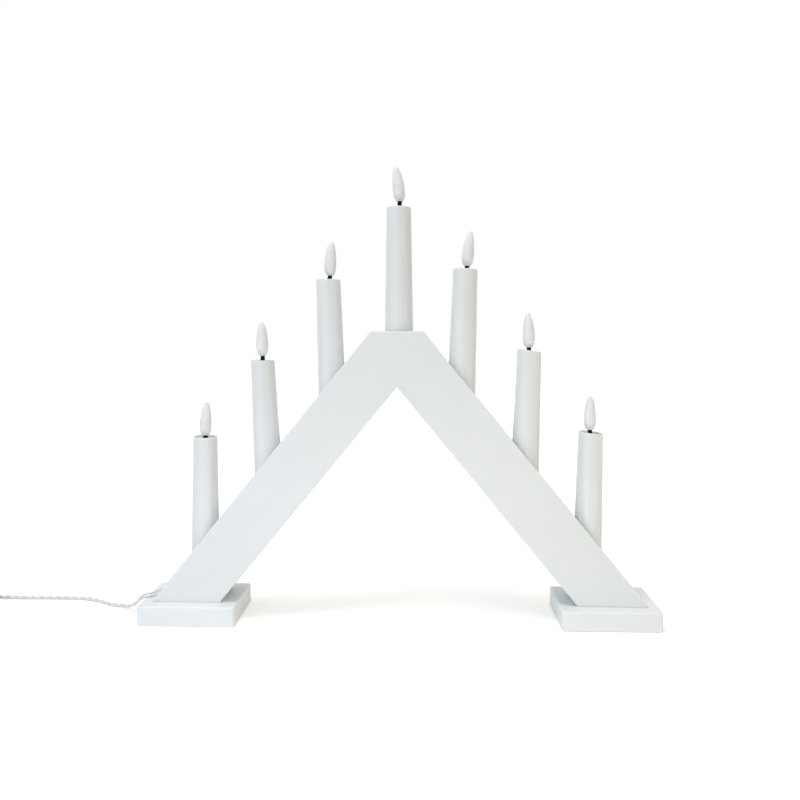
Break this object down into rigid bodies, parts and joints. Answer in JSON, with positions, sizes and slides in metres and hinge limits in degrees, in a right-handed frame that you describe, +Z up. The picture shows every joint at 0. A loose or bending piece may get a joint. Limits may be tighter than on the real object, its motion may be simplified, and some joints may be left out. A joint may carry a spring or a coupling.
{
  "type": "electric advent candle arch",
  "caption": "White inverted-V electric candle arch on flat feet, with tapered candle sleeves, milky flame lamps on black wicks, and a thin lead that ends in a plug adapter.",
  "frame": {"origin": "on the table, below the apex and midway between the front and the back of the feet", "axes": "+X along the arch, to the right as seen from the front; +Y towards the back; +Z up"},
  "size_m": [0.7405, 0.062, 0.3921],
  "materials": {
    "lacquer": "white satin lacquer",
    "beech": "bare",
    "candle": "white satin plastic",
    "wick": "black matt plastic",
    "flame": "milky translucent plastic",
    "diode": "clear cast resin",
    "wire": "pale soft insulation",
    "tie": "black matt plastic",
    "adapter": "white fine-grained plastic",
    "steel": "zinc plated",
    "nickel": "nickel plated"
  },
  "bodies": {
    "frame": {"left_arm": "lacquer", "right_arm": "lacquer", "left_foot": "lacquer", "right_foot": "lacquer", "front_dowel": "beech", "back_dowel": "beech", "left_foot_screw_1": "steel", "left_foot_screw_2": "steel", "right_foot_screw_1": "steel", "right_foot_screw_2": "steel", "left_cover": "lacquer", "right_cover": "lacquer", "left_cover_screw_1": "steel", "left_cover_screw_2": "steel", "right_cover_screw_1": "steel", "right_cover_screw_2": "steel", "left_harness": "wire", "right_harness": "wire", "lead_run": "wire", "lead_coil": "wire", "lead_tail": "wire", "lead_tie": "tie", "strain_relief": "adapter", "adapter_case": "adapter", "adapter_face": "adapter", "adapter_pin_1": "nickel", "adapter_pin_2": "nickel"},
    "sleeve_1": {"candle_1": "candle"},
    "sleeve_2": {"candle_2": "candle"},
    "sleeve_3": {"candle_3": "candle"},
    "sleeve_4": {"candle_4": "candle"},
    "sleeve_5": {"candle_5": "candle"},
    "sleeve_6": {"candle_6": "candle"},
    "sleeve_7": {"candle_7": "candle"},
    "lamp_1": {"wick_1": "wick", "led_1": "diode", "flame_1": "flame"},
    "lamp_2": {"wick_2": "wick", "led_2": "diode", "flame_2": "flame"},
    "lamp_3": {"wick_3": "wick", "led_3": "diode", "flame_3": "flame"},
    "lamp_4": {"wick_4": "wick", "led_4": "diode", "flame_4": "flame"},
    "lamp_5": {"wick_5": "wick", "led_5": "diode", "flame_5": "flame"},
    "lamp_6": {"wick_6": "wick", "led_6": "diode", "flame_6": "flame"},
    "lamp_7": {"wick_7": "wick", "led_7": "diode", "flame_7": "flame"}
  },
  "joints": [
    {"name": "sleeve_1_lift", "type": "slide", "parent": "frame", "child": "sleeve_1", "axis": [0.0262, 0, 0.9997], "range_m": [0, 0.01]},
    {"name": "sleeve_2_lift", "type": "slide", "parent": "frame", "child": "sleeve_2", "axis": [-0.0314, 0, 0.9995], "range_m": [0, 0.01]},
    {"name": "sleeve_3_lift", "type": "slide", "parent": "frame", "child": "sleeve_3", "axis": [-0.0227, 0, 0.9997], "range_m": [0, 0.01]},
    {"name": "sleeve_4_lift", "type": "slide", "parent": "frame", "child": "sleeve_4", "axis": [0, 0, 1], "range_m": [0, 0.01]},
    {"name": "sleeve_5_lift", "type": "slide", "parent": "frame", "child": "sleeve_5", "axis": [0.0244, 0, 0.9997], "range_m": [0, 0.01]},
    {"name": "sleeve_6_lift", "type": "slide", "parent": "frame", "child": "sleeve_6", "axis": [0.0209, 0, 0.9998], "range_m": [0, 0.01]},
    {"name": "sleeve_7_lift", "type": "slide", "parent": "frame", "child": "sleeve_7", "axis": [0.0035, 0, 1], "range_m": [0, 0.01]},
    {"name": "lamp_1_tilt", "type": "hinge", "parent": "sleeve_1", "child": "lamp_1", "pos_m": [-0.16989, 0, 0.15879], "axis": [0, 1, 0], "range_deg": [-15.8, 14.2]},
    {"name": "lamp_2_tilt", "type": "hinge", "parent": "sleeve_2", "child": "lamp_2", "pos_m": [-0.11748, 0, 0.22566], "axis": [0, 1, 0], "range_deg": [-14.5, 15.5]},
    {"name": "lamp_3_tilt", "type": "hinge", "parent": "sleeve_3", "child": "lamp_3", "pos_m": [-0.05931, 0, 0.29456], "axis": [0, 1, 0], "range_deg": [-16.9, 13.1]},
    {"name": "lamp_4_tilt", "type": "hinge", "parent": "sleeve_4", "child": "lamp_4", "pos_m": [0.0013, 0, 0.35518], "axis": [0, 1, 0], "range_deg": [-12.5, 17.5]},
    {"name": "lamp_5_tilt", "type": "hinge", "parent": "sleeve_5", "child": "lamp_5", "pos_m": [0.0578, 0, 0.30275], "axis": [0, 1, 0], "range_deg": [-19.3, 10.7]},
    {"name": "lamp_6_tilt", "type": "hinge", "parent": "sleeve_6", "child": "lamp_6", "pos_m": [0.11304, 0, 0.23257], "axis": [0, 1, 0], "range_deg": [-15.5, 14.5]},
    {"name": "lamp_7_tilt", "type": "hinge", "parent": "sleeve_7", "child": "lamp_7", "pos_m": [0.1671, 0, 0.1619], "axis": [0, 1, 0], "range_deg": [-15.5, 14.5]}
  ]
}
